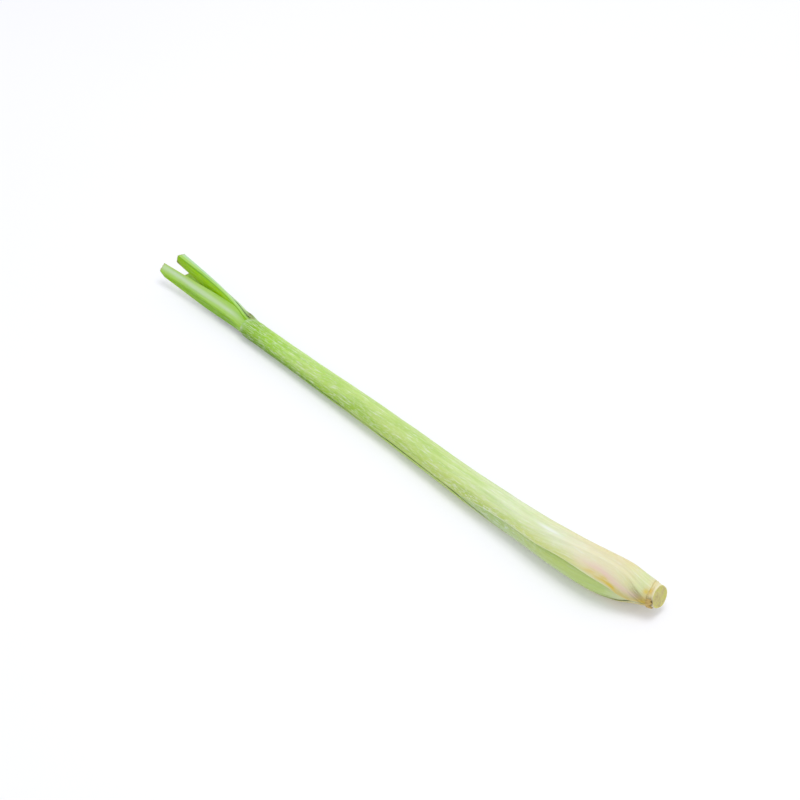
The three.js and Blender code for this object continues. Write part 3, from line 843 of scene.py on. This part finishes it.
def stem_mesh(name, columns=96):
    """Rings round the axis, closed by one middle point at each end. The root cut is askew: its rim runs
    from 0 at the far side to the skew at the near side, by a cosine of the angle between them. Five
    shallow lobes, scars and fibres roughen the side."""
    down, radius = stub_profile()
    phi = np.linspace(0, 2 * math.pi, columns, endpoint=False)[None, :]
    rim = CUT_SKEW * (1 + np.minimum(radius / CUT_RADIUS, 1) * np.cos(phi - math.radians(NEAR_SIDE))) / 2
    on_face = soft_step(radius, CUT_RADIUS + 0.2, CUT_RADIUS - 0.6) * (down < 0.01)
    knife = KNIFE_DEPTH * (1 + waves(radius * np.cos(phi) / 4, radius * np.sin(phi) / 3, 71)) * on_face
    depth = np.where(down <= 1, rim + (SHOULDER - rim) * down, down + SHOULDER - 1) + knife
    scars = 0.1 * (hill(depth, 3.3, 0.3) + hill(depth, 4.2, 0.35)) - 0.1 * hill(depth, 3.75, 0.2)
    radius = radius * (1 + 0.028 * np.cos(5 * phi + 0.6) * (down <= 1))
    fibres = 0.05 * np.cos(19 * phi + 2 * np.sin(3 * phi)) + 0.07 * waves(phi * 1.5, depth, 72)
    radius = radius + (scars + fibres) * (down > 0.01) * (down <= 1)
    rings = place(depth, radius * np.cos(phi), axis_height(depth) + radius * np.sin(phi), SHIFT)
    rows = len(rings)
    middle = CUT_SKEW / 2 + KNIFE_DEPTH
    head = place(np.array(middle), 0.0, axis_height(middle), SHIFT)
    tail = place(np.array(STEM_TIP), 0.0, axis_height(STEM_TIP), SHIFT)
    points = np.vstack([rings.reshape(-1, 3), head, tail])
    number = np.arange(rows * columns).reshape(rows, columns)
    beside = np.roll(number, -1, axis=1)
    sides = np.stack([number[:-1], number[1:], beside[1:], beside[:-1]], -1).reshape(-1, 4)
    first = np.stack([np.full(columns, rows * columns), number[0], beside[0]], -1)
    last = np.stack([np.full(columns, rows * columns + 1), beside[-1], number[-1]], -1)
    mesh = bpy.data.meshes.new(name)
    mesh.from_pydata((points * MM).tolist(), [], [*sides.tolist(), *first.tolist(), *last.tolist()])
    degrees = np.degrees(phi)
    flat = {
        "down": np.broadcast_to(down, depth.shape), "along": depth, "radius": radius,
        "wide": radius * np.cos(phi), "high": radius * np.sin(phi),
        "notch": hill(depth, 3.2, 0.9) * hill(degrees, 180, 20) * (down > 0.01),
        "spot": 0.8 * hill(depth, 4.4, 0.7) * hill(degrees, 128, 15),
    }
    for fact, value in flat.items():
        remember(mesh, fact, np.concatenate([np.ravel(value), [0.0, 0.0]]))
    mesh.shade_smooth()
    mesh.set_sharp_from_angle(angle=math.radians(55))
    return mesh


def stem_material():
    """Ground by distance and radius, bundles of fibres as small cells, a woody rim, scars as bands."""
    material, tree, shader = new_material("Cut stem, fibrous flesh", {
        "IOR": 1.42, "Specular IOR Level": 0.25, "Subsurface Weight": 0.15,
        "Subsurface Radius": (1.0, 0.9, 0.4), "Subsurface Scale": 0.001,
    })
    fact = {
        key: add(tree, "ShaderNodeAttribute", attribute_name=key, out="Fac")
        for key in ("down", "along", "radius", "wide", "high", "notch", "spot")
    }
    face = add(tree, "ShaderNodeCombineXYZ", {0: fact["wide"], 1: fact["high"], 2: fact["along"]})
    # Bundles are about 0.6 mm apart in a real stem, and are drawn at 0.9 mm so that they show.
    cells = add(tree, "ShaderNodeTexVoronoi", {"Vector": face, "Scale": 1.1, "Randomness": 0.9})
    mottle = add(tree, "ShaderNodeTexNoise", {"Vector": face, "Scale": 0.45, "Detail": 5.0, "Roughness": 0.6})
    grain = add(tree, "ShaderNodeTexNoise", {"Vector": face, "Scale": 2.4, "Detail": 4.0, "Roughness": 0.7})
    flesh = add(tree, "ShaderNodeValToRGB", {0: mottle}, stops=[
        (0.36, rgba("c2b578")), (0.5, rgba("cdc484")), (0.6, rgba("d2cc7c")), (0.7, rgba("c6d25a"))])
    dots = add(tree, "ShaderNodeMapRange", {0: cells, 1: 0.30, 2: 0.12, 3: 0.0, 4: 0.25})
    flesh = add(tree, "ShaderNodeMix", {0: dots, 6: flesh, 7: rgba("b0a058")}, out=2, data_type="RGBA")
    rim = add(tree, "ShaderNodeMapRange", {0: fact["radius"], 1: 4.2, 2: 4.75, 3: 0.0, 4: 0.7})
    flesh = add(tree, "ShaderNodeMix", {0: rim, 6: flesh, 7: rgba("dcd878")}, out=2, data_type="RGBA")
    share = add(tree, "ShaderNodeMath", {0: fact["along"], 1: 5.0}, operation="DIVIDE")
    wobble = add(tree, "ShaderNodeMath", {0: grain, 1: 0.16, 2: share}, operation="MULTIPLY_ADD")
    skin_tone = add(tree, "ShaderNodeValToRGB", {0: wobble}, stops=[
        (0.1, rgba("dcd48c")), (0.3, rgba("e8e4c0")), (0.7, rgba("e6dfb8")), (0.82, rgba("e2d6a2")),
        (0.92, rgba("e2daaa")), (1.0, rgba("dcce96"))])
    is_side = add(tree, "ShaderNodeMapRange", {0: fact["down"], 1: 0.005, 2: 0.03, 3: 0.0, 4: 1.0})
    colour = add(tree, "ShaderNodeMix", {0: is_side, 6: flesh, 7: skin_tone}, out=2, data_type="RGBA")
    for field, code in ((fact["spot"], "d8b43e"), (fact["notch"], "7e6218")):
        colour = add(tree, "ShaderNodeMix", {0: field, 6: colour, 7: rgba(code)}, out=2, data_type="RGBA")
    shade = add(tree, "ShaderNodeMapRange", {0: grain, 1: 0.3, 2: 0.7, 3: 0.86, 4: 1.08})
    colour = add(tree, "ShaderNodeVectorMath", {0: colour, 3: shade}, operation="SCALE")
    tree.links.new(colour, shader.inputs["Base Color"])
    # Cut plant tissue dries to a matt surface.
    rough = add(tree, "ShaderNodeMapRange", {0: grain, 1: 0.3, 2: 0.7, 3: 0.55, 4: 0.75})
    tree.links.new(rough, shader.inputs["Roughness"])
    bump = add(tree, "ShaderNodeBump", {"Strength": 0.6, "Distance": 0.0003, "Height": grain})
    tree.links.new(bump, shader.inputs["Normal"])
    return material


finished_piece("cut_stem", stem_mesh("cut_stem"), stem_material(), "stem_flesh", "stem_base")

# %% [markdown]
# ## The old scale
#
# An older sheath was peeled away before, and left a torn, dried rim under the stub. It is a short
# curled strip, thin at both ends, with a ragged edge. Two grids, an outer and an inner one, go
# through the same skin function as the leaves.


# %% Old sheath scale
SCALE_ANGLES = (162, 245)
SCALE_REACH = (3.0, 5.15)
SCALE_LENGTH = 9


def scale_grids(rows=13, columns=61):
    """Angle from 162 to 245 degrees by distance from 3 mm to 5.15 mm; the edge near the cut is torn by
    random waves, and the thickness follows a half sine that leaves both ends thin."""
    share = np.linspace(0, 1, columns)[None, :]
    reach = np.linspace(0, 1, rows)[:, None]
    phi = np.radians(SCALE_ANGLES[0] + (SCALE_ANGLES[1] - SCALE_ANGLES[0]) * share)
    torn = (0.35 * np.sin(7 * math.pi * share) + 0.12 * waves(share * 9, 0, 5)) * (1 - reach) ** 2
    station = SCALE_REACH[0] + (SCALE_REACH[1] - SCALE_REACH[0]) * reach + torn
    thick = 0.4 * np.sin(math.pi * (0.12 + 0.76 * share)) + 0.05 * waves(share * 6, reach, 6)
    inner_r = along(STEM_RADIUS, np.minimum(station, STUB_LENGTH)) + GAP
    grids = [
        place(station, r * np.cos(phi), np.maximum(axis_height(station) + r * np.sin(phi), 0.02), SHIFT)
        for r in (inner_r + np.maximum(thick, 0.12), inner_r)
    ]
    return grids, {"along": station, "around": SCALE_LENGTH * share}


def dry_material():
    """Ground of four browns, in fibres drawn out along the stalk."""
    material, tree, shader = new_material("Dry leaf sheath, papery fibre", {"Roughness": 0.8, "IOR": 1.45})
    around = add(tree, "ShaderNodeAttribute", attribute_name="around", out="Fac")
    run = add(tree, "ShaderNodeAttribute", attribute_name="along", out="Fac")
    place_on = add(tree, "ShaderNodeCombineXYZ", {0: around, 1: run})
    drawn = add(tree, "ShaderNodeVectorMath", {0: place_on, 1: (1.0, 0.25, 1.0)}, operation="MULTIPLY")
    fibre = add(tree, "ShaderNodeTexNoise", {"Vector": drawn, "Scale": 3.0, "Detail": 4.0, "Roughness": 0.65})
    colour = add(tree, "ShaderNodeValToRGB", {0: fibre}, stops=[
        (0.3, rgba("a08444")), (0.45, rgba("bd9e58")), (0.6, rgba("d0b671")), (0.75, rgba("e0cf9c"))])
    tree.links.new(colour, shader.inputs["Base Color"])
    bump = add(tree, "ShaderNodeBump", {"Strength": 0.7, "Distance": 0.0003, "Height": fibre})
    tree.links.new(bump, shader.inputs["Normal"])
    return material


grids, facts = scale_grids()
mesh = skin("old_scale", *grids, facts)
finished_piece("old_scale", mesh, dry_material(), "dry_scale", "old_sheath_scale")

# %% [markdown]
# ## Floor and light
#
# The stalk lies on a white light table, which glows a little, under a big soft lamp, with white walls
# all round. The bright walls are the world colour, and they fill the shadows. The lamp hangs over the
# stalk, a little behind it, so that the top of the stalk is a little brighter than its front, and a
# faint soft shadow falls forwards.

# %% Floor, lamp and world
far = 6.0
corners = [(-far, -far, 0), (far, -far, 0), (far, far, 0), (-far, far, 0)]
floor_mesh = bpy.data.meshes.new("floor")
floor_mesh.from_pydata(corners, [], [(0, 1, 2, 3)])
floor = bpy.data.objects.new("floor", floor_mesh)
bpy.context.scene.collection.objects.link(floor)
floor_finish, tree, shader = new_material("White acrylic light table", {
    "Roughness": 0.9, "Specular IOR Level": 0.2,
    "Emission Color": rgba("fbfbff"), "Emission Strength": 0.17,
})
ground = add(tree, "ShaderNodeTexCoord", out="Object")
cloudy = add(tree, "ShaderNodeTexNoise", {"Vector": ground, "Scale": 3.0, "Detail": 2.0})
white = add(tree, "ShaderNodeValToRGB", {0: cloudy}, stops=[(0.3, rgba("e0e0e2")), (0.7, rgba("e2e2e4"))])
tree.links.new(white, shader.inputs["Base Color"])
floor_mesh.materials.append(floor_finish)

world = bpy.data.worlds.new("white room")
bpy.context.scene.world = world
world.use_nodes = True
world.node_tree.nodes["Background"].inputs["Color"].default_value = rgba("f8f9ff")
world.node_tree.nodes["Background"].inputs["Strength"].default_value = 0.83

lamp_data = bpy.data.lights.new("soft lamp", "AREA")
lamp_data.shape = "SQUARE"
lamp_data.size = 0.6
lamp_data.energy = 4.9
lamp = bpy.data.objects.new("soft lamp", lamp_data)
lamp.location = (0.08, 0.15, 1.09)
lamp.rotation_mode = "QUATERNION"
lamp.rotation_quaternion = (Vector((0, 0, 0)) - lamp.location).to_track_quat("-Z", "Y")
bpy.context.scene.collection.objects.link(lamp)
bpy.context.scene.view_settings.view_transform = "Standard"
bpy.context.scene.view_settings.look = "None"
print("lamp at", [round(c, 2) for c in lamp.location], "with", lamp_data.energy, "W")
